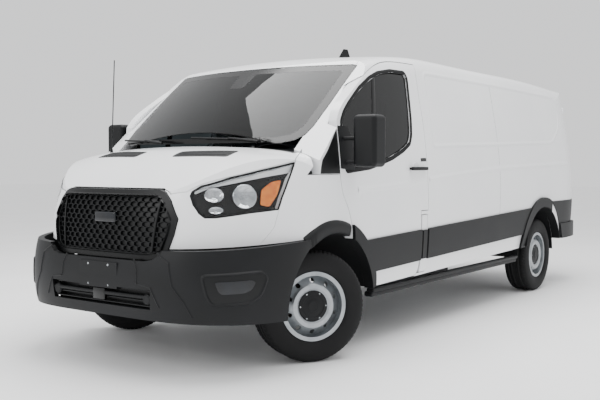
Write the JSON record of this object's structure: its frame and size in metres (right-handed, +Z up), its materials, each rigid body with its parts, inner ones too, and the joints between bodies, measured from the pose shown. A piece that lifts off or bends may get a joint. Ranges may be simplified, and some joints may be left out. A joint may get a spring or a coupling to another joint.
{
  "type": "cargo van",
  "caption": "Low-roof panel van with long wheelbase, hinged cab doors, rear barn doors, side sliding door, dark moulded bumpers and side bands, steel wheels.",
  "frame": {"origin": "on the ground under the middle of the van's bounding box", "axes": "+X towards the front bumper, +Y towards the van's left side, +Z up"},
  "size_m": [5.9821, 2.49, 2.168],
  "materials": {
    "body_paint": "gloss white",
    "trim_plastic": "textured dark grey",
    "gloss_black": "gloss",
    "glass": "tinted clear",
    "lamp_lens": "clear lens over chrome",
    "tail_lens": "red lens",
    "tyre_rubber": "matt",
    "wheel_steel": "silver enamel",
    "chassis_steel": "black wax coat",
    "cast_parts": "as cast",
    "bare_steel": "rolled",
    "cab_plastic": "grained",
    "seat_cloth": "woven",
    "rubber": "matt"
  },
  "bodies": {
    "van_body": {"body_side_left": "body_paint", "body_side_right": "body_paint", "sliding_door_right": "body_paint", "roof_panel": "body_paint", "front_wing_left": "body_paint", "front_wing_right": "body_paint", "nose_panel": "body_paint", "headlamps": "lamp_lens", "grille": "trim_plastic", "front_bumper": "trim_plastic", "cowl_panel": "gloss_black", "windscreen": "glass", "side_mouldings": "trim_plastic", "tail_lamps": "tail_lens", "rear_bumper": "trim_plastic", "arch_liners": "trim_plastic", "floor_pan": "body_paint", "chassis_frame": "chassis_steel", "engine_block": "cast_parts", "rear_axle": "cast_parts", "drive_shaft": "bare_steel", "leaf_springs": "chassis_steel", "fuel_tank": "trim_plastic", "exhaust": "bare_steel", "spare_wheel": "tyre_rubber", "dashboard": "cab_plastic", "steering_wheel": "cab_plastic", "front_seats": "seat_cloth", "roof_antennas": "rubber", "wipers": "trim_plastic"},
    "bonnet": {"bonnet": "body_paint"},
    "fuel_flap": {"fuel_flap": "body_paint"},
    "front_door_left": {"front_door_left": "body_paint", "door_glass_left": "glass", "door_moulding_left": "trim_plastic", "mirror_left": "trim_plastic"},
    "front_door_right": {"front_door_right": "body_paint", "door_glass_right": "glass", "door_moulding_right": "trim_plastic", "mirror_right": "trim_plastic"},
    "rear_door_left": {"rear_door_left": "body_paint", "rear_glass_left": "glass"},
    "rear_door_right": {"rear_door_right": "body_paint", "rear_glass_right": "glass"},
    "knuckle_left": {"knuckle_left": "cast_parts"},
    "knuckle_right": {"knuckle_right": "cast_parts"},
    "wheel_front_left": {"tyre_front_left": "tyre_rubber", "rim_front_left": "wheel_steel"},
    "wheel_front_right": {"tyre_front_right": "tyre_rubber", "rim_front_right": "wheel_steel"},
    "wheel_rear_left": {"tyre_rear_left": "tyre_rubber", "rim_rear_left": "wheel_steel"},
    "wheel_rear_right": {"tyre_rear_right": "tyre_rubber", "rim_rear_right": "wheel_steel"}
  },
  "joints": [
    {"name": "bonnet_hinge", "type": "hinge", "parent": "van_body", "child": "bonnet", "pos_m": [2.0605, 0, 1.38], "axis": [0, -1, 0], "range_deg": [0, 55]},
    {"name": "fuel_flap_hinge", "type": "hinge", "parent": "van_body", "child": "fuel_flap", "pos_m": [0.6785, 1.032, 0.66], "axis": [0, 0, 1], "range_deg": [0, 95]},
    {"name": "front_door_left_hinge", "type": "hinge", "parent": "van_body", "child": "front_door_left", "pos_m": [1.8665, 1.03, 1.2], "axis": [0, 0, -1], "range_deg": [0, 68]},
    {"name": "front_door_right_hinge", "type": "hinge", "parent": "van_body", "child": "front_door_right", "pos_m": [1.8665, -1.03, 1.2], "axis": [0, 0, 1], "range_deg": [0, 68]},
    {"name": "rear_door_left_hinge", "type": "hinge", "parent": "van_body", "child": "rear_door_left", "pos_m": [-2.9405, 0.893, 1.3], "axis": [0, 0, -1], "range_deg": [0, 170]},
    {"name": "rear_door_right_hinge", "type": "hinge", "parent": "van_body", "child": "rear_door_right", "pos_m": [-2.9405, -0.893, 1.3], "axis": [0, 0, 1], "range_deg": [0, 170]},
    {"name": "steer_left", "type": "hinge", "parent": "van_body", "child": "knuckle_left", "pos_m": [1.9675, 0.8, 0.356], "axis": [0, 0, 1], "range_deg": [-5, 67]},
    {"name": "steer_right", "type": "hinge", "parent": "van_body", "child": "knuckle_right", "pos_m": [1.9675, -0.8, 0.356], "axis": [0, 0, 1], "range_deg": [-5, 67]},
    {"name": "wheel_front_left_spin", "type": "hinge", "parent": "knuckle_left", "child": "wheel_front_left", "pos_m": [2.0015, 0.8566, 0.356], "axis": [0.515, 0.8572, 0], "continuous": true},
    {"name": "wheel_front_right_spin", "type": "hinge", "parent": "knuckle_right", "child": "wheel_front_right", "pos_m": [1.9335, -0.8566, 0.356], "axis": [0.515, 0.8572, 0], "continuous": true},
    {"name": "wheel_rear_left_spin", "type": "hinge", "parent": "van_body", "child": "wheel_rear_left", "pos_m": [-1.7825, 0.8715, 0.356], "axis": [0, 1, 0], "continuous": true},
    {"name": "wheel_rear_right_spin", "type": "hinge", "parent": "van_body", "child": "wheel_rear_right", "pos_m": [-1.7825, -0.8715, 0.356], "axis": [0, 1, 0], "continuous": true}
  ],
  "couplings": [
    {"joint": "steer_right", "follows": "steer_left", "ratio": 1}
  ]
}
